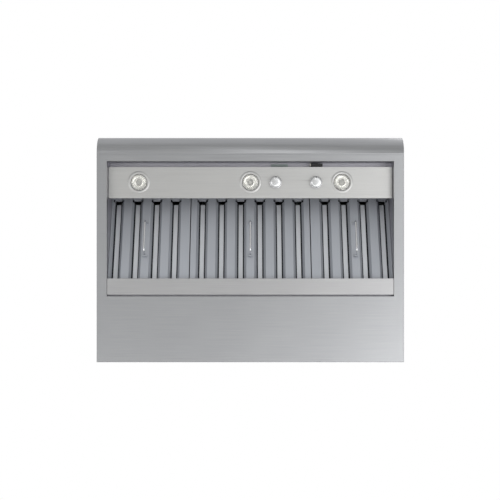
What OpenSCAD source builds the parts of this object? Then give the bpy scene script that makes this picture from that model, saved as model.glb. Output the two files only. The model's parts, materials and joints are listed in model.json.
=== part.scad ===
// Island range hood: a hung stainless canopy with a rolled front nose, three baffle filters that
// swing down from a rail behind the control panel, a grease tray, a centrifugal blower, a damper
// collar and a telescoping flue cover round the hanger frame.
// X runs left to right, +Y to the rear, +Z up. The origin is the middle of the underside rim.

/* [Canopy] */
// Overall width
hood_w = 914; // [800:1:1220]
// Overall depth, from the nose to the rear face
hood_d = 672; // [620:1:800]
// Height of the canopy, from the rim to its top plate
canopy_h = 457; // [440:1:620]
// Radius of the rolled front nose
nose_r = 50; // [40:1:60]
// Height of the canopy's upright lower band
skirt_h = 152; // [145:1:180]
// Flat strip of the nose under the canopy, up to its seam
nose_lip = 4.2; // [3:0.1:10]
// Thickness of the canopy sheet
sheet_t = 1.2; // [0.8:0.1:2]
// Thickness of the sloped canopy walls, measured level
hip_t = 1.6; // [1:0.1:3]
// Width of the rim at each side of the opening
side_rim_w = 30; // [24:1:45]
// Width of the rim between the nose seam and the opening
front_rim_w = 20; // [15:1:40]
// Depth of the plain underside panel behind the opening
rear_panel_d = 196; // [120:1:240]
// Height of the flange turned up round the opening
rim_up = 25; // [22:1:35]
// Thickness of the top plate
top_t = 2; // [1.5:0.5:4]

/* [Filters] */
// Angle of the filters below level, low at the rear
filter_slope = 22.7; // [20:0.1:26]
// Height of the filter hinge line above the rim
pivot_z = 122; // [115:1:135]
// Distance from the control panel's rear edge to the hinge line
pivot_back = 8; // [6:1:14]
// Radius of the rolled bead that the filters hook on
bead_r = 4; // [3:0.5:6]
// Thickness of each filter
filter_t = 22; // [20:1:26]
// Distance between baffle gaps
pitch = 58.8; // [52:0.1:64]
// Number of gaps in the middle filter
mid_gaps = 6; // [4:2:8]
// Number of gaps in each side filter
side_gaps = 4; // [3:1:5]
// Gap between neighbouring filters
filter_gap = 3; // [2:0.5:5]
// Plain margin from the middle filter's edge to its first gap centre
mid_margin = 34.2; // [30:0.1:42]
// Plain margin from a side filter's inner edge to its first gap centre
side_margin = 45.6; // [34:0.1:55]
// Width of a baffle's flat face
baffle_flat = 24; // [20:0.5:30]
// Thickness of the baffle sheet
baffle_t = 1; // [0.6:0.1:1.5]
// Diameter of the handle wire
wire_d = 5; // [4:0.5:6]
// Length of the handle bar
handle_len = 100; // [80:1:120]
// Distance from the filter's face to the middle of the handle bar
handle_drop = 38; // [30:1:40]

/* [Tray and control panel] */
// Depth of the grease tray, front to rear
tray_d = 48; // [40:1:60]
// Gap between the grease tray and the rear of the opening
tray_gap = 5; // [2:0.5:8]
// Height of the tray's front lip
tray_lip = 5; // [4:0.5:6]
// Height of the tray's rear wall
tray_back = 14; // [10:1:18]
// Depth of the control panel, front to rear
panel_d = 94; // [88:1:120]
// Gap between the front rim and the control panel
panel_gap = 14.6; // [13.5:0.1:20]
// Height of the control panel's face above the rim
panel_z = 30; // [27:1:40]
// Height of the control panel's folded edges
panel_fold = 15; // [10:1:20]
// Gap at each end of the control panel, the tray and the filter row
end_gap = 1.2; // [1:0.1:3]
// Places of the three lamps, left to right
lamp_x = [-335, 0, 275];
// Places of the fan knob and the light knob
knob_x = [76, 197];
// Distance of the lamps and knobs from the panel's front edge
control_y = 46; // [40:1:54]
// Radius of a lamp's trim ring
trim_r = 33; // [30:0.5:36]
// Radius of a lamp's glass
lens_r = 24.5; // [22:0.5:26]
// Radius of a knob
knob_r = 18; // [15:0.5:20]
// Height of a knob
knob_h = 21; // [16:1:22]

/* [Blower] */
// Radius of the blower wheel
wheel_r = 95; // [80:1:97]
// Width of the blower wheel
wheel_w = 170; // [120:1:180]
// Number of blades on the wheel
blades = 28; // [16:1:36]
// Smallest radius of the scroll
scroll_r = 110; // [108:1:116]
// Step of the scroll's radius at each quarter turn
scroll_step = 12; // [8:1:14]
// Distance between the wheel and each scroll side
wheel_side_gap = 10; // [6:1:15]
// Radius of the motor
motor_r = 55; // [45:1:65]

/* [Duct and flue] */
// Outside radius of the duct collar
collar_r = 100.5; // [90:0.5:110]
// Height of the duct collar
collar_h = 60; // [50:1:90]
// Outside width of the lower flue cover, square
flue_w = 330; // [310:1:380]
// Length of the lower flue cover
flue_low_h = 300; // [250:1:500]
// Length of the upper flue cover
flue_up_h = 300; // [250:1:500]
// Overlap of the two flue covers
flue_lap = 60; // [40:1:120]
// Thickness of the flue sheet
flue_t = 1; // [0.8:0.1:1.5]
// Clearance between the two flue covers
flue_gap = 1.5; // [1:0.1:3]
// Width of a hanger leg's flanges
leg_w = 25; // [20:1:30]
// Thickness of a hanger leg
leg_t = 2; // [2:0.5:4]
// Thickness of the ceiling bracket
bracket_t = 3; // [2:0.5:6]
// Distance between ceiling bolt holes, both ways
ceiling_pitch = 240; // [220:1:260]
// Radius of a ceiling bolt hole
ceiling_hole_r = 4.5; // [3:0.5:6]
// Radius of the hole that the supply cable comes down through
cable_hole_r = 8; // [7:0.5:9]

/* [Hidden] */
$fn = 64;
e = 1;                  // how far a cut runs past what it cuts
run_gap = 0.05;         // radial clearance of a shaft in its hole

// Canopy
half_w = hood_w / 2;
front_y = -hood_d / 2;
rear_y = hood_d / 2;
nose_y = front_y + nose_r;
seam_y = nose_y + nose_lip;
open_x = half_w - side_rim_w;
open_y0 = seam_y + front_rim_w;
open_y1 = rear_y - rear_panel_d;
hip_top = canopy_h - top_t;
flue_half = flue_w / 2;

// Control panel
panel_y0 = open_y0 + panel_gap;
panel_y1 = panel_y0 + panel_d;
panel_half = open_x - end_gap;
controls_y = panel_y0 + control_y;
lamp_hole_r = trim_r - 4;
bushing_r = 5;
spindle_r = 3;
nut_r = 8;
nut_h = 3;

// Grease tray
tray_y1 = open_y1 - tray_gap;
tray_y0 = tray_y1 - tray_d;

// Filters: local y runs down the slope from the hinge line and local z is square to the face
pivot_y = panel_y1 - pivot_back;
face_z = -bead_r;
back_z = face_z + filter_t;
swing_clear = 1;        // least gap between a swinging filter and the tray's lip
reach_y = tray_y0 - swing_clear - pivot_y;
reach_z = pivot_z - tray_lip - swing_clear;
filter_len = sqrt(reach_y * reach_y + reach_z * reach_z - back_z * back_z);
hook_t = 1.5;
wall_y = bead_r + hook_t + 0.5;
gap_flat = pitch - baffle_flat;     // distance between neighbouring flat faces
lower_rise = 10;                    // height of a lower baffle's bent edges
lower_run = 6.9;                    // how far each edge leans out
web_half = 7;
web_z = back_z - 2;
upper_tip_half = 18;
upper_tip_z = face_z + 9;
tab_len = 9;
tab_wide = 24;
tab_narrow = 18;
band_len = 4;                       // open slot between a tab and the upper baffle
mid_half = mid_margin + (mid_gaps - 1) * pitch / 2;
side_x0 = mid_half + filter_gap;
side_x1 = open_x - end_gap;
side_first = side_x0 + side_margin;
handle_y = 97;
handle_pivot_z = face_z - 7;
wire_r = wire_d / 2;
bend_r = 9;

// Blower
scroll_y = -(scroll_r + 3 * scroll_step) / 2;
scroll_z = hip_top - scroll_r - 30;
scroll_half = wheel_w / 2 + wheel_side_gap;
blower_t = 1.2;
inlet_r = wheel_r - 15;
shaft_r = 6;
motor_len = 60;
motor_x0 = -scroll_half + 4;

// Duct, hanger and flue
collar_t = 1.2;
collar_flange_r = collar_r + 4.5;
damper_z = canopy_h + 23;
pin_r = 2.5;
knuckle_r = 4;
flap_t = 1;
flap_r = collar_r - collar_t - 1.8;
knuckle_len = 22;
leg_half = flue_half - 20;
ceiling_z = canopy_h + flue_low_h + flue_up_h - flue_lap;
leg_low_top = canopy_h + flue_low_h;
leg_up_base = leg_low_top - flue_lap;
bolt_r = 3;
duct_hole_r = collar_r + 9.5;

steel = [0.72, 0.73, 0.74];
dark_steel = [0.52, 0.53, 0.55];
zinc = [0.62, 0.64, 0.66];
black = [0.09, 0.09, 0.1];

// ---- helpers ----

// A box between two corners
module span(lo, hi) translate(lo) cube(hi - lo);

// A cylinder along X from x0 to x1
module rod_x(r, x0, x1) translate([x0, 0, 0]) rotate([0, 90, 0]) cylinder(r = r, h = x1 - x0);

// A cylinder along Y from y0 to y1
module rod_y(r, y0, y1) translate([0, y0, 0]) rotate([-90, 0, 0]) cylinder(r = r, h = y1 - y0);

// A profile drawn in (Y, Z), run along X from x0 to x1
module along_x(x0, x1) translate([x0, 0, 0]) rotate([90, 0, 90]) linear_extrude(x1 - x0) children();

// A profile drawn in (X, Z), run along Y from y0 to y1
module along_y(y0, y1) translate([0, y1, 0]) rotate([90, 0, 0]) linear_extrude(y1 - y0) children();

// A ring of rectangular section
module ring(r_out, r_in, h) difference() {
    cylinder(r = r_out, h = h);
    translate([0, 0, -e]) cylinder(r = r_in, h = h + 2 * e);
}

// A square with round corners, centred
module round_square(w, r) {
    square([w, w - 2 * r], center = true);
    square([w - 2 * r, w], center = true);
    for (x = [-1, 1], y = [-1, 1]) translate([x, y] * (w / 2 - r)) circle(r = r);
}

// A square tube with round corners
module square_tube(w, r, t, h) linear_extrude(h) difference() {
    round_square(w, r);
    round_square(w - 2 * t, r - t / 2);
}

// Share of the way from the skirt's top to the canopy's top
function hip_share(z) = (z - skirt_h) / (hip_top - skirt_h);
function blend(a, b, s) = a + (b - a) * s;

// The sloped part of the canopy between two heights, drawn in by a wall
module hip_block(z0, z1, wall) {
    levels = [for (z = [z0, z1]) let (s = hip_share(z)) [
        blend(half_w, flue_half, s) - wall,
        blend(nose_y, -flue_half, s) + wall,
        blend(rear_y, flue_half, s) - wall, z]];
    corners = [for (l = levels) each
        [[-l[0], l[1], l[3]], [l[0], l[1], l[3]], [l[0], l[2], l[3]], [-l[0], l[2], l[3]]]];
    polyhedron(corners, [[0, 1, 2, 3], [7, 6, 5, 4], [4, 5, 1, 0], [5, 6, 2, 1], [6, 7, 3, 2], [7, 4, 0, 3]]);
}

// ---- canopy ----

module underside_frame() color(steel) {
    inner_x = half_w - sheet_t;
    inner_y = rear_y - sheet_t;
    difference() {
        span([-inner_x, seam_y, 0], [inner_x, inner_y, sheet_t]);
        span([-open_x, open_y0, -e], [open_x, open_y1, sheet_t + e]);
    }
    difference() {
        span([-open_x - sheet_t, open_y0 - sheet_t, sheet_t], [open_x + sheet_t, open_y1 + sheet_t, rim_up]);
        span([-open_x, open_y0, 0], [open_x, open_y1, rim_up + e]);
    }
}

// Outline of the canopy's lower band, seen from the side
module skirt_outline() {
    translate([nose_y, nose_r]) circle(r = nose_r);
    translate([nose_y, 0]) square([rear_y - nose_y, skirt_h]);
}

module left_end_panel() color(steel) along_x(-half_w, -half_w + sheet_t) skirt_outline();

module right_end_panel() color(steel) along_x(half_w - sheet_t, half_w) skirt_outline();

module rear_panel() color(steel)
    span([-half_w + sheet_t, rear_y - sheet_t, 0], [half_w - sheet_t, rear_y, skirt_h]);

module bullnose_front() color(steel) along_x(-half_w + sheet_t, half_w - sheet_t) {
    difference() {
        translate([nose_y, nose_r]) circle(r = nose_r);
        translate([nose_y, nose_r]) circle(r = nose_r - sheet_t);
        translate([nose_y, -e]) square([nose_r + e, 2 * (nose_r + e)]);
    }
    translate([nose_y, 0]) square([nose_lip, sheet_t]);
    translate([nose_y, 2 * nose_r - sheet_t]) square([sheet_t, skirt_h - 2 * nose_r + sheet_t]);
}

module canopy_hip() color(steel) difference() {
    hip_block(skirt_h, hip_top, 0);
    hip_block(skirt_h - e, hip_top + e, hip_t);
}

module top_plate() color(zinc) difference() {
    span([-flue_half, -flue_half, hip_top], [flue_half, flue_half, canopy_h]);
    translate([0, 0, hip_top - e]) cylinder(r = collar_r - collar_t, h = top_t + 2 * e);
}

// Wall between the filters and the canopy side, from the rim flange up past the filters
module liner() {
    top = skirt_h - 3;
    tail = rim_up + 30;
    polygon([[open_y0, rim_up], [open_y1, rim_up], [open_y1, tail], [pivot_y + 50, top], [open_y0, top]]);
}

module left_liner() color(dark_steel) along_x(-open_x - sheet_t, -open_x) liner();

module right_liner() color(dark_steel) along_x(open_x, open_x + sheet_t) liner();

// ---- rails that hold the filters ----

step_y = panel_y0 + 12;
step_z = panel_z + sheet_t + 35;    // clears the switch and its board

// Front wall and stepped roof of the control bay, ending in the bead that the filters hook on
module filter_front_rail() color(dark_steel) {
    along_x(-open_x, open_x) {
        translate([open_y0 - sheet_t, rim_up]) square([sheet_t, step_z + sheet_t - rim_up]);
        translate([open_y0 - sheet_t, step_z]) square([step_y - open_y0 + sheet_t, sheet_t]);
        translate([step_y - sheet_t, step_z]) square([sheet_t, pivot_z + sheet_t / 2 - step_z]);
        translate([step_y - sheet_t, pivot_z - sheet_t / 2])
            square([pivot_y - bead_r / 2 - step_y + sheet_t, sheet_t]);
        translate([pivot_y, pivot_z]) circle(r = bead_r);
    }
}

catch_r = 3.2;
catch_nut_r = 4.4;
nose_reach = 2.6;       // how far a catch's ball centre stands in front of the rail
rail_gap = 1.3;         // gap between the filters' rear corners and the rail
rail_y = pivot_y + filter_len * cos(filter_slope) + back_z * sin(filter_slope) + rail_gap;
rail_top = rim_up + 15;
catch_z = rim_up - catch_nut_r - 0.4;
rail_foot = catch_z - catch_r - 2;
catch_inset = 40;
function catch_places() = [for (side = [-1, 1],
    x = [mid_half - catch_inset, side_x0 + catch_inset, side_x1 - catch_inset]) side * x];

// Strip across the hood behind the filters, with a flange that rests on the rim's turned-up edge
module filter_rear_rail() color(dark_steel) difference() {
    along_x(-open_x, open_x) {
        translate([rail_y, rail_foot]) square([sheet_t, rail_top - rail_foot]);
        translate([rail_y, rim_up]) square([open_y1 + sheet_t - rail_y, sheet_t]);
    }
    for (x = catch_places()) translate([x, 0, catch_z]) rod_y(catch_r, rail_y - e, rail_y + sheet_t + e);
}

// Ball catches that hold the filters up: a threaded body through the rail, its nut and a ball nose
module catch_plungers() color(zinc)
    for (x = catch_places()) translate([x, 0, catch_z]) {
        rod_y(catch_r - run_gap, rail_y, rail_y + 12);
        rod_y(catch_nut_r, rail_y + sheet_t, rail_y + sheet_t + 3);
        rod_y(catch_r - 0.2, rail_y - nose_reach, rail_y);
        translate([0, rail_y - nose_reach, 0]) sphere(r = catch_r - 0.2);
    }

// ---- control panel ----

module control_panel() color(steel) difference() {
    union() {
        span([-panel_half, panel_y0, panel_z], [panel_half, panel_y1, panel_z + sheet_t]);
        difference() {
            span([-panel_half, panel_y0, panel_z], [panel_half, panel_y1, panel_z + panel_fold]);
            span([-panel_half + sheet_t, panel_y0 + sheet_t, panel_z - e],
                [panel_half - sheet_t, panel_y1 - sheet_t, panel_z + panel_fold + e]);
        }
    }
    for (x = lamp_x) translate([x, controls_y, panel_z - e]) cylinder(r = lamp_hole_r, h = sheet_t + 2 * e);
    for (x = knob_x) translate([x, controls_y, panel_z - e])
        cylinder(r = bushing_r + run_gap, h = sheet_t + 2 * e);
    for (s = [-1, 1], y = [panel_y0 + 20, panel_y1 - 20])
        translate([s * panel_half, y, panel_z + panel_fold / 2]) rod_x(2.05, -2 * e, 2 * e);
}

// Screws through the panel's end folds into the liners' nut plates
module panel_screws() color(zinc)
    for (s = [-1, 1], y = [panel_y0 + 20, panel_y1 - 20])
        translate([s * panel_half, y, panel_z + panel_fold / 2]) {
            rod_x(2, s > 0 ? -8 : -end_gap, s > 0 ? end_gap : 8);
            rod_x(4, s > 0 ? -sheet_t - 3 : sheet_t, s > 0 ? -sheet_t : sheet_t + 3);
        }

module wiring_connector() color(black) {
    slack = 1.2;
    span([knob_x[1] - 17, open_y0 + slack, panel_z + 10], [knob_x[1] + 21, panel_y0 - slack, panel_z + 24]);
    translate([knob_x[1] + 2, 0, panel_z + 24]) span([-8, open_y0 + 3, 0], [8, panel_y0 - 3, 9]);
}

module lamp_trim(x) color(steel) translate([x, controls_y, panel_z]) difference() {
    union() {
        translate([0, 0, -2.2]) cylinder(r1 = trim_r - 2, r2 = trim_r, h = 2.2);
        cylinder(r = lamp_hole_r - 0.3, h = 14);
    }
    translate([0, 0, -e - 2.2]) cylinder(r = lens_r + 0.2, h = 3.2 + 2 * e);
    translate([0, 0, e]) cylinder(r = lamp_hole_r - 1.5, h = 14);
}

// Reflector lamp: glass front, bowl and pin base
module lamp_bulb(x) color([0.92, 0.92, 0.9]) translate([x, controls_y, panel_z]) {
    translate([0, 0, -1.6]) cylinder(r = lens_r, h = 5);
    translate([0, 0, 3.4]) cylinder(r1 = lens_r, r2 = 10, h = 30);
    translate([0, 0, 33.4]) cylinder(r = 10, h = 14);
}

// Rotary switch body with its bushing and nut, spindle hole right through
module switch_body(x, w, h) translate([x, controls_y, panel_z]) difference() {
    union() {
        span([-w / 2, -w / 2, sheet_t], [w / 2, w / 2, sheet_t + h]);
        translate([0, 0, -nut_h - 2]) cylinder(r = bushing_r, h = nut_h + 2 + sheet_t);
        translate([0, 0, -nut_h]) cylinder(r = nut_r, h = nut_h, $fn = 6);
    }
    translate([0, 0, -nut_h - 3]) cylinder(r = spindle_r + run_gap, h = nut_h + 3 + h);
}

fan_switch_w = 42;
fan_switch_h = 30;

module fan_switch() color(black) switch_body(knob_x[0], fan_switch_w, fan_switch_h);

module light_dimmer() color(black) switch_body(knob_x[1], 32, 24);

// Speed control board on top of the fan switch, reaching forward over the gap in front of the panel
module fan_board() color([0.2, 0.3, 0.27]) translate([knob_x[0], 0, panel_z + sheet_t + fan_switch_h])
    span([-13, open_y0 + 4, 0], [38, controls_y + fan_switch_w / 2, 1.6]);

knob_top = -0.8;        // upper edge of a knob, below the panel's face

module spindle(x) color(zinc) translate([x, controls_y, panel_z])
    translate([0, 0, -knob_h + 6]) cylinder(r = spindle_r, h = knob_h + 8);

module fan_spindle() spindle(knob_x[0]);

module light_spindle() spindle(knob_x[1]);

// Turned knob with a domed face, a hollow for the switch nut and a pointer notch
module knob(x) color([0.8, 0.81, 0.82]) translate([x, controls_y, panel_z + knob_top - knob_h]) difference() {
    intersection() {
        cylinder(r = knob_r, h = knob_h);
        translate([0, 0, 2.2 * knob_r]) sphere(r = 2.2 * knob_r);
    }
    translate([0, 0, knob_h - nut_h - 3]) cylinder(r = nut_r + 2, h = nut_h + 3 + e);
    translate([0, 0, knob_h - 15]) cylinder(r = spindle_r + 0.02, h = 15 + e);
    span([-0.8, -knob_r - e, -e], [0.8, -knob_r + 5, knob_h / 2]);
}

module fan_knob() knob(knob_x[0]);

module light_knob() knob(knob_x[1]);

// ---- filters ----

// Puts a filter's local frame on the hinge line
module on_slope() translate([0, pivot_y, pivot_z]) rotate([-filter_slope, 0, 0]) children();

// Half-width edges and gap centres of filter n, 1 to 3
function filter_x0(n) = n == 2 ? -mid_half : n == 3 ? side_x0 : -side_x1;
function filter_x1(n) = n == 2 ? mid_half : n == 3 ? side_x1 : -side_x0;
function gap_centres(n) = n == 2
    ? [for (i = [0 : mid_gaps - 1]) (i - (mid_gaps - 1) / 2) * pitch]
    : [for (i = [0 : side_gaps - 1]) (n == 3 ? 1 : -1) * (side_first + i * pitch)];
function handle_x(n) = n == 2 ? 0 : (n == 3 ? 1 : -1) * (side_first + 1.5 * pitch);

// Bent edge of a lower baffle in (X, Z): starts at x on the face and leans by run
module bent_edge(x, run) polygon([[x, face_z], [x + run, face_z + lower_rise],
    [x + run - sign(run) * baffle_t, face_z + lower_rise], [x - sign(run) * baffle_t * 1.3, face_z]]);

module filter_frame(n) color(steel) on_slope() {
    x0 = filter_x0(n);
    x1 = filter_x1(n);
    first = min(gap_centres(n)) - gap_flat / 2;
    last = max(gap_centres(n)) + gap_flat / 2;
    difference() {
        span([x0, wall_y, face_z], [x1, filter_len, back_z]);
        span([x0 + baffle_t, wall_y + baffle_t, face_z - e],
            [x1 - baffle_t, filter_len - baffle_t, back_z + e]);
    }
    // side faces with their bent edges, and the strips that close the back
    along_y(wall_y + baffle_t, filter_len - baffle_t) {
        translate([x0 + baffle_t, face_z]) square([first - x0 - baffle_t, baffle_t]);
        translate([last, face_z]) square([x1 - baffle_t - last, baffle_t]);
        translate([x0 + baffle_t, back_z - baffle_t]) square([8, baffle_t]);
        translate([x1 - baffle_t - 8, back_z - baffle_t]) square([8, baffle_t]);
    }
    along_y(wall_y + tab_len + 2, filter_len - baffle_t) {
        bent_edge(first, lower_run);
        bent_edge(last, -lower_run);
    }
    // tabs that close the front end of each gap
    for (x = gap_centres(n)) translate([x, wall_y + baffle_t, face_z + baffle_t]) linear_extrude(baffle_t)
        polygon([[-tab_wide / 2, 0], [tab_wide / 2, 0],
            [tab_narrow / 2, tab_len], [-tab_narrow / 2, tab_len]]);
    // hooks over the bead
    for (x = [x0 + 12, x1 - 42]) translate([x, 0, 0]) rotate([90, 0, 90])
        rotate(filter_slope - 60) rotate_extrude(angle = 175)
            translate([bead_r + run_gap, 0]) square([hook_t, 30]);
    for (x = [x0 + 12, x1 - 42]) span([x, bead_r + 0.5, -2], [x + 30, wall_y, 2]);
}

module filter_lower_baffles(n) color(steel) on_slope() {
    centres = gap_centres(n);
    step = n == 1 ? -pitch : pitch;
    for (i = [0 : len(centres) - 2]) translate([centres[i] + step / 2, 0, 0]) {
        along_y(wall_y + baffle_t, filter_len - baffle_t)
            translate([-baffle_flat / 2, face_z]) square([baffle_flat, baffle_t]);
        along_y(wall_y + tab_len + 2, filter_len - baffle_t) {
            bent_edge(baffle_flat / 2, lower_run);
            bent_edge(-baffle_flat / 2, -lower_run);
        }
    }
    // eyes that hold the handle
    for (y = [handle_y - 6, handle_y + handle_len + 4]) translate([handle_x(n), y, 0]) difference() {
        span([-6, 0, handle_pivot_z - 5], [6, 2, face_z]);
        translate([0, 0, handle_pivot_z]) rod_y(wire_r + run_gap, -e, 2 + e);
    }
}

module filter_upper_baffles(n) color(steel) on_slope() {
    lean = upper_tip_half - web_half;
    for (x = gap_centres(n)) translate([x, 0, 0]) difference() {
        along_y(wall_y + baffle_t, filter_len - baffle_t) {
            translate([-web_half, web_z - baffle_t]) square([2 * web_half, baffle_t]);
            for (s = [-1, 1]) polygon([[s * web_half, web_z], [s * upper_tip_half, upper_tip_z],
                [s * (upper_tip_half - 1.4 * baffle_t), upper_tip_z], [s * (web_half - 1.4 * baffle_t), web_z]]);
        }
        span([-upper_tip_half + lean / 2, wall_y, face_z],
            [upper_tip_half - lean / 2, wall_y + tab_len + band_len + baffle_t, back_z]);
    }
}

// Wire handle that hangs from its two eyes
module filter_handle(n) color([0.8, 0.81, 0.82]) on_slope() translate([handle_x(n), handle_y, handle_pivot_z]) {
    drop = handle_drop - (face_z - handle_pivot_z);
    rod_y(wire_r, -8, 0);
    rod_y(wire_r, handle_len, handle_len + 8);
    translate([0, 0, -drop]) rod_y(wire_r, bend_r, handle_len - bend_r);
    for (y = [0, handle_len]) {
        translate([0, y, bend_r - drop]) cylinder(r = wire_r, h = drop - bend_r);
        translate([0, y, 0]) sphere(r = wire_r);
    }
    for (end = [0, 1]) translate([0, end ? handle_len - bend_r : bend_r, bend_r - drop])
        rotate([90, 0, 90]) rotate(end ? 270 : 180)
            rotate_extrude(angle = 90) translate([bend_r, 0]) circle(r = wire_r);
}

// ---- grease tray ----

module grease_tray() color(steel) {
    along_x(-panel_half, panel_half) {
        translate([tray_y0, 0]) square([tray_d, sheet_t]);
        translate([tray_y0, 0]) square([sheet_t, tray_lip]);
        translate([tray_y1 - sheet_t, 0]) square([sheet_t, tray_back]);
    }
    for (x = [-panel_half, panel_half - sheet_t]) along_x(x, x + sheet_t)
        polygon([[tray_y0, 0], [tray_y1, 0], [tray_y1, tray_back], [tray_y0, tray_lip]]);
}

// ---- blower ----

// Scroll seen along X: three quarter arcs whose centres step round a small square, then the outlet
module scroll(inset) {
    a = scroll_step;
    top = hip_top - scroll_z;
    outer = scroll_r + 3 * a;
    quarter(scroll_r - inset, [0, 0], [-1, 0]);
    quarter(scroll_r + a - inset, [a, 0], [-1, -1]);
    quarter(scroll_r + 2 * a - inset, [a, a], [0, -1]);
    square([a, a]);
    translate([inset, a]) square([outer - 2 * inset, top - a + (inset > 0 ? e : 0)]);
    if (inset > 0) translate([-e, 0]) square([2 * inset + e, scroll_r - inset]);
}

// A quarter disc about a centre, in the quadrant whose lower corner is given by side
module quarter(r, at, side) translate(at) intersection() {
    circle(r = r, $fn = 96);
    translate(side * r) square(r);
}

module at_blower() translate([0, scroll_y, scroll_z]) children();

module blower_wrapper() color(zinc) at_blower() along_x(-scroll_half, scroll_half) difference() {
    scroll(0);
    scroll(blower_t);
}

module blower_side(x) color(zinc) at_blower() difference() {
    along_x(x, x + blower_t) scroll(0);
    rod_x(inlet_r, x - e, x + blower_t + e);
}

module blower_side_left() blower_side(-scroll_half - blower_t);

module blower_side_right() blower_side(scroll_half);

module blower_motor() color(dark_steel) at_blower() difference() {
    union() {
        rod_x(motor_r, motor_x0, motor_x0 + motor_len);
        rod_x(motor_r * 0.4, motor_x0 + motor_len, motor_x0 + motor_len + 6);
        rod_x(motor_r * 0.5, motor_x0 - 4 - blower_t, motor_x0);
    }
    rod_x(shaft_r + run_gap, motor_x0 + motor_len - 20, motor_x0 + motor_len + 6 + e);
}

// Three arms from the scroll's side to the motor
module motor_bracket() color(zinc) at_blower() {
    x1 = -scroll_half - blower_t;
    rod_x(motor_r * 0.6, x1 - 3, x1);
    for (turn = [90, 210, 330]) rotate([turn, 0, 0]) span([x1 - 3, 0, -11], [x1, scroll_r - 4, 11]);
}

module blower_wheel() color(zinc) at_blower() difference() {
    union() {
        rod_x(wheel_r - 12, -1.5, 1.5);
        rod_x(18, -9, 9);
        for (x = [-wheel_w / 2, -1.5, wheel_w / 2 - 3]) difference() {
            rod_x(wheel_r, x, x + 3);
            rod_x(wheel_r - 14, x - e, x + 3 + e);
        }
        for (i = [0 : blades - 1]) rotate([i * 360 / blades, 0, 0])
            translate([0, wheel_r - 13, 0]) rotate([25, 0, 0])
                span([-wheel_w / 2 + e, 0, -0.5], [wheel_w / 2 - e, 12, 0.5]);
    }
    rod_x(shaft_r + 0.02, -9 - e, 9 + e);
}

module motor_shaft() color(steel) at_blower() rod_x(shaft_r, motor_x0 + motor_len - 18, 12);

// ---- duct collar and damper ----

module duct_collar() color(zinc) difference() {
    translate([0, 0, canopy_h]) {
        ring(collar_flange_r, collar_r - collar_t, collar_t);
        ring(collar_r, collar_r - collar_t, collar_h);
    }
    translate([0, 0, damper_z]) rod_x(pin_r + run_gap, -collar_r - e, collar_r + e);
}

module damper_pin() color(zinc) translate([0, 0, damper_z]) rod_x(pin_r, -collar_r, collar_r);

// Half disc on one side of the pin, with its knuckles at the given starts
module damper_flap(side, starts) color(zinc) translate([0, 0, damper_z]) difference() {
    union() {
        intersection() {
            translate([0, 0, -flap_t / 2]) cylinder(r = flap_r, h = flap_t);
            span([-flap_r, side > 0 ? knuckle_r + 0.6 : -flap_r, -flap_t],
                [flap_r, side > 0 ? flap_r : -knuckle_r - 0.6, flap_t]);
        }
        for (x = starts) {
            rod_x(knuckle_r, x, x + knuckle_len);
            span([x, side > 0 ? pin_r : -knuckle_r - 1, -flap_t / 2],
                [x + knuckle_len, side > 0 ? knuckle_r + 1 : -pin_r, flap_t / 2]);
        }
    }
    rod_x(pin_r + run_gap, -flap_r - e, flap_r + e);
}

module damper_flap_front() damper_flap(-1, [-72, 26]);

module damper_flap_rear() damper_flap(1, [-48, 50]);

// ---- supply connection ----

box_y = collar_flange_r + 3;
box_size = [90, 42, 45];
gland_y = box_y + box_size[1] / 2;
gland_bore_r = 5.5;

module junction_box() color(zinc) translate([-box_size[0] / 2, box_y, canopy_h]) difference() {
    cube(box_size);
    translate([1.5, 1.5, 1.5]) cube(box_size - [3, 3, 3]);
    translate([box_size[0] / 2, box_size[1] / 2, box_size[2] - 2]) cylinder(r = 8, h = 4);
}

module supply_gland() color(black) translate([0, gland_y, canopy_h + box_size[2]]) difference() {
    union() {
        translate([0, 0, -6]) cylinder(r = 8 - run_gap, h = 6);
        cylinder(r = 12, h = 5, $fn = 6);
        translate([0, 0, 5]) cylinder(r1 = 10, r2 = 8, h = 10);
    }
    translate([0, 0, -6 - e]) cylinder(r = gland_bore_r, h = 21 + 2 * e);
}

// ---- hanger and flue ----

// Four corner angles whose outer corner is half from the middle
module corner_angles(half, h) for (x = [0, 1], y = [0, 1]) mirror([x, 0, 0]) mirror([0, y, 0])
    translate([half - leg_w, half - leg_w, 0]) difference() {
        cube([leg_w, leg_w, h]);
        translate([-e, -e, -e]) cube([leg_w - leg_t + e, leg_w - leg_t + e, h + 2 * e]);
    }

// Square band that ties the four angles together
module leg_band(half, z, h) translate([0, 0, z]) difference() {
    span([-half, -half, 0], [half, half, h]);
    span([-half + leg_t, -half + leg_t, -e], [half - leg_t, half - leg_t, h + e]);
}

module bolt_places() for (x = [-1, 1], y = [-1, 1], z = [0.3, 0.7])
    translate([x * leg_half, y * (leg_half - leg_w / 2), leg_up_base + z * flue_lap])
        rotate([0, 0, x > 0 ? 0 : 180]) children();

module hanger_frame_lower() color(zinc) difference() {
    union() {
        translate([0, 0, canopy_h]) corner_angles(leg_half, flue_low_h);
        leg_band(leg_half, canopy_h + flue_low_h / 2, 20);
    }
    bolt_places() rod_x(bolt_r + run_gap, -leg_w, leg_w);
}

module hanger_frame_upper() color(zinc) difference() {
    union() {
        translate([0, 0, leg_up_base]) corner_angles(leg_half - leg_t, ceiling_z - bracket_t - leg_up_base);
        leg_band(leg_half - leg_t, ceiling_z - flue_up_h / 2, 20);
    }
    bolt_places() rod_x(bolt_r + run_gap, -leg_w, leg_w);
}

// Bolts and nuts that clamp the upper legs inside the lower ones
module hanger_bolts() color(steel) bolt_places() {
    rod_x(bolt_r, -2 * leg_t - 6, 0);
    rod_x(5.5, 0, 4);
    translate([-2 * leg_t - 5, 0, 0]) rotate([0, 90, 0]) cylinder(r = 5.5, h = 5, $fn = 6);
}

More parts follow.
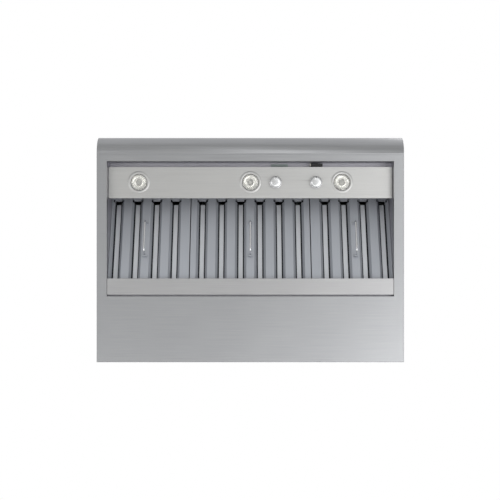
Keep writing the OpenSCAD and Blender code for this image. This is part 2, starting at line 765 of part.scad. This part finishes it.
module ceiling_bracket() color(zinc) {
    half = flue_half - flue_t - flue_gap - flue_t - 3;
    difference() {
        span([-half, -half, ceiling_z - bracket_t], [half, half, ceiling_z]);
        translate([0, 0, ceiling_z - bracket_t - e]) cylinder(r = duct_hole_r, h = bracket_t + 2 * e);
        for (x = [-1, 1], y = [-1, 1])
            translate([x * ceiling_pitch / 2, y * ceiling_pitch / 2, ceiling_z - bracket_t - e])
                cylinder(r = ceiling_hole_r, h = bracket_t + 2 * e);
        translate([0, gland_y, ceiling_z - bracket_t - e]) cylinder(r = cable_hole_r, h = bracket_t + 2 * e);
    }
    leg_band(half, ceiling_z - bracket_t - 20, 20);
}

module flue_lower() color(steel) translate([0, 0, canopy_h]) square_tube(flue_w, 3, flue_t, flue_low_h);

module flue_upper() color(steel) translate([0, 0, ceiling_z - flue_up_h])
    square_tube(flue_w - 2 * (flue_t + flue_gap), 3, flue_t, flue_up_h);

underside_frame();
left_end_panel();
right_end_panel();
rear_panel();
bullnose_front();
canopy_hip();
top_plate();
left_liner();
right_liner();
filter_front_rail();
filter_rear_rail();
catch_plungers();
control_panel();
panel_screws();
wiring_connector();
lamp_trim(lamp_x[0]);  // lamp_1_trim
lamp_bulb(lamp_x[0]);  // lamp_1_bulb
lamp_trim(lamp_x[1]);  // lamp_2_trim
lamp_bulb(lamp_x[1]);  // lamp_2_bulb
lamp_trim(lamp_x[2]);  // lamp_3_trim
lamp_bulb(lamp_x[2]);  // lamp_3_bulb
fan_switch();
light_dimmer();
fan_knob();
fan_spindle();
light_knob();
light_spindle();
filter_frame(1);  // filter_1_frame
filter_lower_baffles(1);  // filter_1_lower_baffles
filter_upper_baffles(1);  // filter_1_upper_baffles
filter_handle(1);  // filter_1_handle
filter_frame(2);  // filter_2_frame
filter_lower_baffles(2);  // filter_2_lower_baffles
filter_upper_baffles(2);  // filter_2_upper_baffles
filter_handle(2);  // filter_2_handle
filter_frame(3);  // filter_3_frame
filter_lower_baffles(3);  // filter_3_lower_baffles
filter_upper_baffles(3);  // filter_3_upper_baffles
filter_handle(3);  // filter_3_handle
grease_tray();
blower_wrapper();
blower_side_left();
blower_side_right();
blower_motor();
motor_bracket();
blower_wheel();
motor_shaft();
duct_collar();
damper_pin();
damper_flap_front();
damper_flap_rear();
junction_box();
supply_gland();
hanger_frame_lower();
hanger_frame_upper();
hanger_bolts();
ceiling_bracket();
flue_lower();
flue_upper();
fan_board();
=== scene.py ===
# %% [markdown]
# # A stainless range hood, seen from the hob
# The hood's sheet metal, filters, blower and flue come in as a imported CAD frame. This lesson gives them
# their finishes, models the turned and moulded pieces that CAD only stands in for, and lights the scene.
# Everything is in metres: X to the right, Y from the rolled nose to the back, Z up to the ceiling.

# %% Load the frame
import json
import math

import bmesh
import bpy
from mathutils import Matrix, Vector


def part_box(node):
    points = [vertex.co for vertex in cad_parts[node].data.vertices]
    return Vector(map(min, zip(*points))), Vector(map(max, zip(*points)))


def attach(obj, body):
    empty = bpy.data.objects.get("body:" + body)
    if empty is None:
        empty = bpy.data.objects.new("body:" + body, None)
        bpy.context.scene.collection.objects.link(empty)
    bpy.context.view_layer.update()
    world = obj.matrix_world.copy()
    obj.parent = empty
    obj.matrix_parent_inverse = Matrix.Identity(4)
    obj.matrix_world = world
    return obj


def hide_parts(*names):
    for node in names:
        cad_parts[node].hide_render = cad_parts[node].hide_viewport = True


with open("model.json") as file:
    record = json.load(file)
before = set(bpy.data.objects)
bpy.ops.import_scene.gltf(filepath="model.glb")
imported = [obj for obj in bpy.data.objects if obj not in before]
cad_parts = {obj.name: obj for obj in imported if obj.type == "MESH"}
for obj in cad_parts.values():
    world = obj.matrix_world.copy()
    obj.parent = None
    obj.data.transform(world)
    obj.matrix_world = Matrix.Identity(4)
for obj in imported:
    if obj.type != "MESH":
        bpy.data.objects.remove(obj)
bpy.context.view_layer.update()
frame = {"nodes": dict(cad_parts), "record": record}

# %% [markdown]
# The hood hangs over the viewer, so the camera stands under it and looks straight up. A camera with no
# turn looks down, so it gets half a turn about X. The hood's front is then at the top of the picture. It
# stands two or three millimetres off the hood's middle, as a camera set up by eye does.

# %% Camera
CAMERA_PLACE = (-0.00104, 0.00235, -2.973)
FAR_ENOUGH = 60     # metres: past the floor's corners
scene = bpy.context.scene
camera = bpy.data.objects.new("camera", bpy.data.cameras.new("camera"))
scene.collection.objects.link(camera)
camera.data.sensor_width = 36
camera.data.lens = 72
camera.location = CAMERA_PLACE
camera.rotation_euler = (math.pi, 0, 0)
camera.data.clip_end = FAR_ENOUGH
scene.camera = camera
scene.view_settings.view_transform = "Standard"
print("camera", round(-camera.location.z, 3), "m below the rim")

# %% [markdown]
# ## Finishes
# Each finish is a small tree of shader nodes. One helper turns the usual hex colours into the linear
# values that light is reckoned in, and one adds a node with its settings and its links.

# %% Helpers for materials
def colour(hex_code):
    """An sRGB hex colour as linear RGBA."""
    parts = [int(hex_code[i:i + 2], 16) / 255 for i in (1, 3, 5)]
    return [p / 12.92 if p <= 0.04045 else ((p + 0.055) / 1.055) ** 2.4 for p in parts] + [1.0]


def add(tree, kind, inputs=None, **settings):
    """One shader node. An input is given a plain value, or another node's output to link."""
    made = tree.nodes.new("ShaderNode" + kind)
    for name, value in settings.items():
        setattr(made, name, value)
    for socket, value in (inputs or {}).items():
        if isinstance(value, bpy.types.NodeSocket):
            tree.links.new(value, made.inputs[socket])
        else:
            made.inputs[socket].default_value = value
    return made


def new_material(name):
    """A material with only its Principled shader, and that shader."""
    material = bpy.data.materials.new(name)
    material.use_nodes = True
    return material, material.node_tree, material.node_tree.nodes["Principled BSDF"]


def between(tree, factor, low, high):
    """A number that runs from low to high as the factor runs from 0.3 to 0.7, where noise mostly lies."""
    span = {"Value": factor, "From Min": 0.3, "From Max": 0.7, "To Min": low, "To Max": high}
    return add(tree, "MapRange", span).outputs[0]


def tint(tree, factor, low, high):
    """A colour between two hex colours."""
    return add(tree, "Mix", {0: factor, 6: colour(low), 7: colour(high)}, data_type="RGBA").outputs[2]


def sideways(tree):
    """How far a face turns to the left or right: 0 for level faces, 1 for upright side walls."""
    normal = add(tree, "SeparateXYZ", {0: add(tree, "NewGeometry").outputs["Normal"]}).outputs[0]
    return add(tree, "Math", {0: normal}, operation="ABSOLUTE").outputs[0]


print("helpers ready")

# %% [markdown]
# **Brushed stainless steel.** Sheet is pulled under an abrasive belt, which leaves fine scratches all in
# one direction. They catch the light as faint streaks, and blur reflections across the grain. Stretched
# noise draws them: 150 mm long and 1.4 mm wide. Real scratches are about 0.1 mm wide, too fine to show
# here, so these are drawn coarser. A panel is brushed along its length, so walls that face sideways take
# grain along Y. Broad clouds 200 mm across vary the tone a little, as hand rubbing does.
#
# The upper baffles are seen only through the slots between the lower ones. Their sloped walls lie in
# shadow, so the finish has one more setting: painted shade, a dark tint for the faces that lean to the
# left or right, which stands for that shadow. It is shade painted into the colour, not another
# metal.

# %% Brushed steel
CLOUDS_PER_M = 5.0
CLOUD_SHARE = 0.4
GLOSS_SPREAD = 0.04
SCRATCH_DEPTH = 0.0004
SCRATCH_STRENGTH = 0.06


def brushed_steel(name, dark, light, roughness, grain="X", streak=(0.15, 0.0014), painted_shade_colour=None):
    """Steel with streaks of a length and width in metres along X, along Y, or along each wall."""
    material, tree, shader = new_material(name)
    place = add(tree, "TexCoord").outputs["Object"]
    long, thin = 1 / streak[0], 1 / streak[1]
    along_x = add(tree, "Mapping", {"Vector": place, "Scale": (long, thin, thin)}).outputs[0]
    along_y = add(tree, "Mapping", {"Vector": place, "Scale": (thin, long, thin)}).outputs[0]
    if grain == "walls":
        wall = add(tree, "Math", {0: sideways(tree), 1: 0.5}, operation="GREATER_THAN").outputs[0]
        vector = add(tree, "Mix", {0: wall, 4: along_x, 5: along_y}, data_type="VECTOR").outputs[1]
    else:
        vector = along_y if grain == "Y" else along_x
    fine = {"Vector": vector, "Scale": 1.0, "Detail": 3.0, "Roughness": 0.6}
    scratch = add(tree, "TexNoise", fine).outputs[0]
    cloud = add(tree, "TexNoise", {"Vector": place, "Scale": CLOUDS_PER_M, "Detail": 2.0}).outputs[0]
    faint = add(tree, "Math", {0: cloud, 1: CLOUD_SHARE}, operation="MULTIPLY").outputs[0]
    shade = add(tree, "Math", {0: scratch, 1: faint}, operation="ADD").outputs[0]
    share = add(tree, "MapRange", {"Value": shade, "From Min": 0.4, "From Max": 1.0}).outputs[0]
    shown = tint(tree, share, dark, light)
    # painted shade: faces that lean to the left or right are darkened towards this dark colour, standing for
    # shadow in the slots
    if painted_shade_colour:
        span = {"Value": sideways(tree), "From Min": 0.3, "From Max": 0.6}
        painted_shade_mask = add(tree, "MapRange", span).outputs[0]
        shown = add(tree, "Mix", {0: painted_shade_mask, 6: shown, 7: colour(painted_shade_colour)}, data_type="RGBA").outputs[2]
    tree.links.new(shown, shader.inputs["Base Color"])
    gloss = between(tree, scratch, roughness - GLOSS_SPREAD, roughness + GLOSS_SPREAD)
    tree.links.new(gloss, shader.inputs["Roughness"])
    relief = add(tree, "Bump", {"Height": scratch, "Strength": SCRATCH_STRENGTH, "Distance": SCRATCH_DEPTH})
    tree.links.new(relief.outputs[0], shader.inputs["Normal"])
    shader.inputs["Metallic"].default_value = 1.0
    return material


canopy_steel = brushed_steel("stainless_brushed_canopy", "#929396", "#9E9FA1", 0.36, "walls")
panel_steel = brushed_steel("stainless_brushed_panel", "#ABABAB", "#B5B5B4", 0.38)
tray_steel = brushed_steel("stainless_brushed_tray", "#9D9D9F", "#A8A8A9", 0.36)
mill_streak = (0.08, 0.003)
rolled_streak = (0.12, 0.0016)
liner_steel = brushed_steel("stainless_mill_liner", "#B2B1B8", "#BEBDC4", 0.5, "walls", mill_streak)
baffle_steel = brushed_steel("stainless_bright_rolled_baffle", "#ADB0B6", "#B8BBC1", 0.72, "Y", rolled_streak)
# the upper baffles take painted shade on their sloped walls: a dark tint that stands for the shadow in the
# slots
upper_steel = brushed_steel("stainless_baffle_upper_painted_shade", "#D2D4D8", "#DEE0E4", 0.7, "Y", rolled_streak,
    painted_shade_colour="#3A3B40")
print("brushed finishes made")

# %% [markdown]
# **Polished stainless steel.** The knobs and the handles are buffed, so they mirror the room. A little
# cloudy variation in roughness, in patches of about 4 mm, keeps them from looking like liquid chrome.

# %% Polished steel
HAZE_PER_M = 260.0


def polished_steel(name, dark, light, roughness):
    material, tree, shader = new_material(name)
    place = add(tree, "TexCoord").outputs["Object"]
    haze = add(tree, "TexNoise", {"Vector": place, "Scale": HAZE_PER_M, "Detail": 3.0}).outputs[0]
    tree.links.new(tint(tree, haze, dark, light), shader.inputs["Base Color"])
    tree.links.new(between(tree, haze, roughness - 0.03, roughness + 0.05), shader.inputs["Roughness"])
    shader.inputs["Metallic"].default_value = 1.0
    return material


knob_steel = polished_steel("stainless_polished_knob", "#BFC0C2", "#CFD0D1", 0.28)
wire_steel = polished_steel("stainless_polished_wire", "#CFD0D2", "#E0E1E2", 0.12)
print("polished finishes made")

# %% [markdown]
# **Hot-dip galvanised steel.** Zinc freezes on the sheet in leaf-shaped crystals, the spangle, 6 to 15 mm
# across. Each crystal has its own grey and its own gloss, so a cell pattern drives both, and a noise of
# 11 mm bends the cells' edges. **Zinc plate** on the screws and shafts is smooth and bluish, with no
# spangle.

# %% Zinc finishes
BENDS_PER_M = 90.0
BEND_SHARE = 0.012
SPANGLE = 0.011     # metres across


def galvanised(name, dark, light, cell, roughness):
    material, tree, shader = new_material(name)
    place = add(tree, "TexCoord").outputs["Object"]
    bend = add(tree, "TexNoise", {"Vector": place, "Scale": BENDS_PER_M, "Detail": 2.0}).outputs["Color"]
    crooked = add(tree, "Mix", {0: BEND_SHARE, 4: place, 5: bend}, data_type="VECTOR").outputs[1]
    crystal = add(tree, "TexVoronoi", {"Vector": crooked, "Scale": 1 / cell})
    grey = add(tree, "SeparateColor", {0: crystal.outputs["Color"]}).outputs[0]
    tree.links.new(tint(tree, grey, dark, light), shader.inputs["Base Color"])
    gloss = add(tree, "MapRange", {"Value": grey, "To Min": roughness - 0.08, "To Max": roughness + 0.08})
    tree.links.new(gloss.outputs[0], shader.inputs["Roughness"])
    relief = add(tree, "Bump", {"Height": crystal.outputs["Distance"], "Strength": 0.1, "Distance": 0.0003})
    tree.links.new(relief.outputs[0], shader.inputs["Normal"])
    shader.inputs["Metallic"].default_value = 1.0
    return material


duct_zinc = galvanised("steel_hot_dip_galvanised", "#989DA0", "#B9BDC0", SPANGLE, 0.42)
plated_zinc = polished_steel("steel_zinc_plated", "#AEB4BC", "#C6CBD1", 0.28)
print("zinc finishes made")

# %% [markdown]
# **Moulded nylon** has a fine spark-eroded texture, grit of about 0.4 mm, that breaks up its shine.
# **Stoving enamel** on the motor is smoother, with orange peel a few millimetres across. Both aren't
# metals, so what they mirror is white while their body keeps its colour.

# %% Plastic and enamel
PATCHES_PER_M = 40.0     # tone patches of 25 mm
GRIT_DEPTH = 0.0003


def coated(name, dark, light, grit, roughness, bump):
    material, tree, shader = new_material(name)
    place = add(tree, "TexCoord").outputs["Object"]
    grain = add(tree, "TexNoise", {"Vector": place, "Scale": 1 / grit, "Detail": 3.0}).outputs[0]
    broad = add(tree, "TexNoise", {"Vector": place, "Scale": PATCHES_PER_M, "Detail": 2.0}).outputs[0]
    tree.links.new(tint(tree, broad, dark, light), shader.inputs["Base Color"])
    tree.links.new(between(tree, grain, roughness - 0.05, roughness + 0.05), shader.inputs["Roughness"])
    relief = add(tree, "Bump", {"Height": grain, "Strength": bump, "Distance": GRIT_DEPTH})
    tree.links.new(relief.outputs[0], shader.inputs["Normal"])
    return material


black_nylon = coated("nylon_moulded_black", "#0E0E10", "#1A1A1C", 0.0004, 0.5, 0.2)
motor_enamel = coated("enamel_stoved_dark_grey", "#25282B", "#303438", 0.003, 0.38, 0.15)
white_nylon = coated("nylon_moulded_natural", "#B9B6AC", "#CFCCC2", 0.0004, 0.45, 0.15)
board_green = coated("circuit_board_green_lacquer", "#8F9C99", "#9DAAA6", 0.0012, 0.4, 0.1)
print("plastic, enamel and lacquer made")

# %% [markdown]
# **Pressed lamp glass.** A reflector lamp's front is clear glass over a bright aluminised bowl. The bowl
# is stippled to spread the beam, so it has dimples of about 2.4 mm and isn't a clean mirror. The glass has
# slow waves of about 6 mm from the press.

# %% Lamp glass and bowl
WAVES_PER_M = 160.0
DIMPLES_PER_M = 420.0
lamp_glass, tree, shader = new_material("glass_clear_lamp_front")
place = add(tree, "TexCoord").outputs["Object"]
wave = add(tree, "TexNoise", {"Vector": place, "Scale": WAVES_PER_M, "Detail": 1.0}).outputs[0]
tree.links.new(tint(tree, wave, "#FAFAF8", "#FFFFFF"), shader.inputs["Base Color"])
tree.links.new(between(tree, wave, 0.0, 0.03), shader.inputs["Roughness"])
shader.inputs["Transmission Weight"].default_value = 0.9
shader.inputs["IOR"].default_value = 1.46

bowl_bright, tree, shader = new_material("aluminium_vapour_coated_bowl")
place = add(tree, "TexCoord").outputs["Object"]
dimple = add(tree, "TexVoronoi", {"Vector": place, "Scale": DIMPLES_PER_M}).outputs["Distance"]
tree.links.new(tint(tree, dimple, "#E8E7E3", "#D6D5D0"), shader.inputs["Base Color"])
shader.inputs["Metallic"].default_value = 1.0
shader.inputs["Roughness"].default_value = 0.22
relief = add(tree, "Bump", {"Height": dimple, "Strength": 0.35, "Distance": 0.0006})
tree.links.new(relief.outputs[0], shader.inputs["Normal"])

capsule_frost = coated("quartz_capsule_frosted", "#B4B3AF", "#C6C5C1", 0.0008, 0.35, 0.1)
print(len(bpy.data.materials), "materials")

# %% [markdown]
# ## Dressing the CAD nodes
# The sheet metal's shapes are already right, so each CAD node only takes a finish. Real sheet has eased
# edges that catch a thin line of light. A Weld modifier joins the loose triangles and a narrow Bevel eases
# the edges, without touching the mesh itself.

# %% Finishes by record slot
by_slot = {
    "canopy_steel": canopy_steel,
    "liner_steel": liner_steel,
    "panel_steel": panel_steel,
    "baffle_steel": baffle_steel,
    "polished_steel": wire_steel,
    "lamp_glass": lamp_glass,
    "galvanised_steel": duct_zinc,
    "zinc_fasteners": plated_zinc,
    "motor_paint": motor_enamel,
    "black_plastic": black_nylon,
    "board_lacquer": board_green,
}
subparts = {part["node"]: part["material_slot"] for part in frame["record"]["subparts"]}
for node, piece in frame["nodes"].items():
    piece.data.materials.clear()
    finish = by_slot[subparts[node]]
    if node == "grease_tray":
        finish = tray_steel
    elif node.endswith("upper_baffles"):
        finish = upper_steel
    piece.data.materials.append(finish)
print(len(subparts), "nodes dressed")

# %% Eased edges
SAME_POINT = 0.00001
SHARP = 40     # degrees: only the folds and cut edges are sharper than this
# Width of each node's easing, in mm
eased = {
    "underside_frame": 0.35, "bullnose_front": 0.3, "left_end_panel": 0.35, "right_end_panel": 0.35,
    "rear_panel": 0.35, "canopy_hip": 0.4, "control_panel": 0.5, "grease_tray": 0.55, "flue_lower": 0.3,
    "flue_upper": 0.3, "top_plate": 0.4,
}
for node, width in eased.items():
    piece = frame["nodes"][node]
    weld = piece.modifiers.new("weld", "WELD")
    weld.merge_threshold = SAME_POINT
    edge = piece.modifiers.new("ease", "BEVEL")
    edge.width = width / 1000
    edge.segments = 2
    edge.limit_method = "ANGLE"
    edge.angle_limit = math.radians(SHARP)
    edge.harden_normals = True
print(len(eased), "nodes with eased edges")

# %% [markdown]
# ## Turned pieces
# Knobs, lamp rings, bowls and glasses are all turned about an upright axis. Each is drawn as half a
# section, a chain of (radius, height) points in millimetres, and spun round once. The spin joins its ends,
# and the normals are made to point outwards afterwards.

# %% Helper: spin a section
SMOOTH_BELOW = 35     # degrees


def turned(name, section, centre, material, body, steps=64, closed=False):
    """A piece spun about Z from a section of (radius, height) points, in mm, at a centre in metres."""
    shape = bmesh.new()
    points = [shape.verts.new((r / 1000, 0, z / 1000)) for r, z in section]
    ends = points[1:] + points[:1] if closed else points[1:]
    edges = [shape.edges.new(pair) for pair in zip(points, ends)]
    bmesh.ops.spin(shape, geom=points + edges, cent=(0, 0, 0), axis=(0, 0, 1), angle=math.tau,
        steps=steps, use_merge=True)
    bmesh.ops.remove_doubles(shape, verts=shape.verts, dist=1e-6)
    bmesh.ops.recalc_face_normals(shape, faces=shape.faces)
    bmesh.ops.translate(shape, verts=shape.verts, vec=centre)
    return finished(name, shape, material, body)


def finished(name, shape, material, body):
    """Turns a bmesh into an object with a material, riding on a CAD body."""
    mesh = bpy.data.meshes.new(name)
    shape.to_mesh(mesh)
    shape.free()
    mesh.shade_smooth()
    mesh.set_sharp_from_angle(angle=math.radians(SMOOTH_BELOW))
    mesh.materials.append(material)
    piece = bpy.data.objects.new(name, mesh)
    scene.collection.objects.link(piece)
    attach(piece, body)
    return piece

# %% [markdown]
# **Control knob.** A solid turned knob: a slim skirt, a shallow grip groove, a rounded shoulder and a
# slightly domed face. Its pointer is a milled slot filled with black, which stands at the front when the
# knob is off. The section runs from the axis at the face, outwards and up to the hollow under the panel.
# Each knob rides on the body of its own name, so it turns with its spindle.

# %% Knobs
POINTER_SIZE = (0.0014, 0.0062, 0.0030)
POINTER_LEAN = -11     # degrees: it follows the dome
POINTER_RISE = 0.00232


def knob(node):
    low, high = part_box(node)
    middle = (low + high) / 2
    r, h = (high.x - low.x) * 500, (high.z - low.z) * 1000
    face = [(0, 0), (r * 0.35, 0.25), (r * 0.62, 0.9), (r * 0.8, 1.9), (r * 0.9, 3.2), (r * 0.945, 4.8)]
    grip = [(r * 0.955, h - 6.5), (r * 0.925, h - 6.0), (r * 0.925, h - 4.6)]
    skirt = [(r, h - 4.0), (r, h - 0.6), (r * 0.975, h)]
    hollow = [(10.2, h), (10.0, h - 5.6), (3.2, h - 6.0), (3.05, h - 14.0), (0, h - 14.5)]
    section = face + grip + skirt + hollow
    body_piece = turned(node + "_turned", section, (middle.x, middle.y, low.z), knob_steel, node)
    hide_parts(node)
    mark = bmesh.new()
    bmesh.ops.create_cube(mark, size=1)
    bmesh.ops.scale(mark, verts=mark.verts, vec=POINTER_SIZE)
    bmesh.ops.bevel(mark, geom=mark.edges[:], offset=0.0004, affect="EDGES", segments=2, profile=0.5,
        material=-1)
    lean = Matrix.Rotation(math.radians(POINTER_LEAN), 3, "X")
    bmesh.ops.rotate(mark, verts=mark.verts, cent=(0, 0, 0), matrix=lean)
    bmesh.ops.translate(mark, verts=mark.verts, vec=(middle.x, middle.y - r * 0.00068, low.z + POINTER_RISE))
    finished(node + "_pointer", mark, black_nylon, node)
    return body_piece


for node in ("fan_knob", "light_knob"):
    made = knob(node)
    print(made.name, len(made.data.polygons), "faces")

# %% [markdown]
# **Recessed lamps.** The trim ring is a thin turned flange that lies on the panel, with a rolled inner
# lip round the recess. Behind it the reflector lamp shows a shallow stippled bowl, a small quartz capsule
# at its middle, and a clear front glass just inside the ring.

# %% Lamps
LENS_R = 24.4             # mm
SLEEVE_R = (27.6, 28.7)   # mm, inside and outside


def lamp(n):
    low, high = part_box(f"lamp_{n}_trim")
    x, y, z0 = (low.x + high.x) / 2, (low.y + high.y) / 2, low.z
    r = (high.x - low.x) * 500
    top = (high.z - low.z) * 1000
    inside, outside = SLEEVE_R
    lip = [(LENS_R + 0.4, 6.0), (LENS_R + 0.4, 2.0), (LENS_R + 1.2, 0.7), (LENS_R + 2.6, 0.1)]
    flange = [(r - 3.4, 0.3), (r - 1.2, 0.8), (r - 0.2, 1.5), (r - 0.1, 2.15)]
    sleeve = [(outside, 2.2), (outside, top), (inside, top), (inside, 6.0)]
    trim = turned(f"lamp_{n}_ring", lip + flange + sleeve, (x, y, z0), panel_steel, "canopy", closed=True)
    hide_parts(f"lamp_{n}_trim")
    bowl = [(LENS_R - 0.1, 2.9), (23.4, 3.1), (22.4, 3.8), (20.4, 5.4), (17.6, 6.9), (14.6, 7.7), (12.2, 7.6)]
    seat = [(11.0, 6.7), (10.0, 6.2), (9.0, 6.6), (8.2, 7.8), (7.6, 9.2), (7.2, 12.0), (0, 12.2)]
    outer = [(0, 46.0), (9.6, 46.0), (9.8, 34.0), (12.0, 31.5), (24.3, 7.2), (LENS_R, 3.6)]
    reflector = turned(f"lamp_{n}_reflector", bowl + seat + outer, (x, y, z0), bowl_bright, "canopy")
    below = [(0, 1.0), (12, 1.05), (LENS_R - 1.2, 1.3), (LENS_R, 2.0)]
    above = [(LENS_R - 0.6, 2.6), (12, 2.3), (0, 2.2)]
    glass = turned(f"lamp_{n}_glass", below + above, (x, y, z0), lamp_glass, "canopy")
    tip = [(0, 6.2), (3.4, 6.4), (5.8, 7.2), (6.9, 8.8), (7.0, 12.0), (0, 12.1)]
    capsule = turned(f"lamp_{n}_capsule", tip, (x, y, z0), capsule_frost, "canopy", steps=40)
    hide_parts(f"lamp_{n}_bulb")
    return trim


for n in (1, 2, 3):
    print(lamp(n).name, "made")

# %% [markdown]
# **Wiring connector.** The plug and socket that join the lamp wiring lie in the slit ahead of the panel.
# The housing is a box with rounded edges, four moulded ribs, a raised latch and a light-coloured collar at
# one end.

# %% Connector
RIB_PITCH = 0.0034


def block(name, low, high, material=black_nylon, easing=0.0008):
    """A box between two corners, in metres, with rounded edges, riding on the canopy."""
    shape = bmesh.new()
    bmesh.ops.create_cube(shape, size=1)
    bmesh.ops.scale(shape, verts=shape.verts, vec=[b - a for a, b in zip(low, high)])
    bmesh.ops.bevel(shape, geom=shape.edges[:], offset=easing, affect="EDGES", segments=3, profile=0.5,
        material=-1)
    bmesh.ops.translate(shape, verts=shape.verts, vec=[(a + b) / 2 for a, b in zip(low, high)])
    return finished(name, shape, material, "canopy")


def rib(n):
    """One moulded rib of the socket, counted from its left end."""
    start = low.x + 0.006 + n * RIB_PITCH
    far = (start + 0.0012, high.y, high.z - 0.001)
    return block(f"connector_rib_{n}", (start, low.y, floor_z + 0.001), far, easing=0.0003)


low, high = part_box("wiring_connector")
split = low.x + 0.62 * (high.x - low.x)
floor_z = low.z + 0.0012
housing = block("connector_socket", (low.x + 0.003, low.y + 0.0006, floor_z),
    (split, high.y - 0.0006, high.z))
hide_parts("wiring_connector")
plug = block("connector_plug", (split + 0.0006, low.y + 0.0018, floor_z + 0.001),
    (high.x, high.y - 0.0018, high.z - 0.002))
collar = block("connector_collar", (low.x, low.y + 0.002, floor_z + 0.002),
    (low.x + 0.0028, high.y - 0.002, high.z - 0.004), white_nylon)
latch = block("connector_latch", (split - 0.008, low.y + 0.004, low.z),
    (split + 0.006, high.y - 0.004, low.z + 0.0022), easing=0.0005)
ribs = [rib(n) for n in range(4)]
print("connector of", 4 + len(ribs), "pieces")

# %% [markdown]
# ## Floor, background and light
# The floor lies 3.25 metres below the rim, under the camera, and bounces soft light up on the underside, as
# a kitchen floor does. For the camera it is mostly a white glow, so that it looks white without more light.
# The world is white too, to the camera and to mirrored and transmitted rays. The world that lights the
# hood is dimmer, so that the metal keeps its tone.

# %% Floor
FLOOR_DEPTH = 3.25
FLOOR_HALF = 9
WHITE_SHARE = 0.7
floor_shape = bmesh.new()
bmesh.ops.create_grid(floor_shape, x_segments=1, y_segments=1, size=FLOOR_HALF)
bmesh.ops.translate(floor_shape, verts=floor_shape.verts, vec=(0, 0, -FLOOR_DEPTH))
floor_mesh = bpy.data.meshes.new("floor")
floor_shape.to_mesh(floor_mesh)
floor_shape.free()
floor = bpy.data.objects.new("floor", floor_mesh)
scene.collection.objects.link(floor)
floor_paint, tree, shader = new_material("floor_pale_plaster")
shader.inputs["Base Color"].default_value = colour("#F2F2F0")
shader.inputs["Roughness"].default_value = 0.9
path = add(tree, "LightPath")
white = add(tree, "Emission", {"Color": (1, 1, 1, 1), "Strength": 1.0})
share = add(tree, "Math", {0: path.outputs["Is Camera Ray"], 1: WHITE_SHARE}, operation="MULTIPLY").outputs[0]
blend = add(tree, "MixShader", {0: share, 1: shader.outputs[0], 2: white.outputs[0]})
tree.links.new(blend.outputs[0], tree.nodes["Material Output"].inputs["Surface"])
floor_mesh.materials.append(floor_paint)
print("floor", FLOOR_DEPTH, "m below the rim")

# %% World
LIGHTING_LEVEL = 0.7
SEEN_LEVEL = 1.0
world = bpy.data.worlds.new("studio")
scene.world = world
world.use_nodes = True
tree = world.node_tree
path = add(tree, "LightPath")
ways = [path.outputs[ray] for ray in ("Is Camera Ray", "Is Glossy Ray", "Is Transmission Ray")]
seen = add(tree, "Math", {0: ways[0], 1: ways[1]}, operation="MAXIMUM").outputs[0]
seen = add(tree, "Math", {0: seen, 1: ways[2]}, operation="MAXIMUM").outputs[0]
level = add(tree, "MapRange", {"Value": seen, "To Min": LIGHTING_LEVEL, "To Max": SEEN_LEVEL}).outputs[0]
tree.links.new(level, tree.nodes["Background"].inputs["Strength"])
tree.nodes["Background"].inputs["Color"].default_value = (1, 1, 1, 1)
print("world level", LIGHTING_LEVEL)

# %% [markdown]
# **Soft lamps.** Large soft boxes give metal broad, calm reflections. A big one at the lower right makes
# the sheet brighten to the right, smaller ones fill in from the left and the rear, and a narrow strip in
# front draws the bright line along the rolled nose. Two more stand above, for the flue and the sloped
# walls.

# %% Soft lamps
def softbox(name, place, aim, width, height, power):
    """A rectangular area lamp at a place, turned to an aim point. Metres and watts."""
    data = bpy.data.lights.new(name, "AREA")
    data.shape = "RECTANGLE"
    data.size, data.size_y = width, height
    data.energy = power
    lamp_object = bpy.data.objects.new(name, data)
    lamp_object.location = place
    lamp_object.rotation_euler = (Vector(aim) - Vector(place)).to_track_quat("-Z", "Y").to_euler()
    scene.collection.objects.link(lamp_object)
    return lamp_object


softbox("key_right_below", (1.7, 0.8, -2.7), (0.2, 0, 0), 2.6, 2.4, 40)
softbox("fill_left_below", (-2.4, 0.4, -2.4), (0, 0, 0), 1.6, 1.8, 16)
softbox("fill_rear_below", (0, 1.5, -2.7), (0, 0, 0.1), 2.6, 0.8, 12)
softbox("strip_front_below", (0.7, -1.3, -3.1), (0.1, -0.3, 0), 2.8, 0.25, 8)
softbox("upper_right", (2.6, -2.2, 2.4), (0, 0, 0.4), 1.8, 1.8, 60)
softbox("upper_left", (-2.8, 2.2, 1.8), (0, 0, 0.4), 1.8, 1.8, 35)
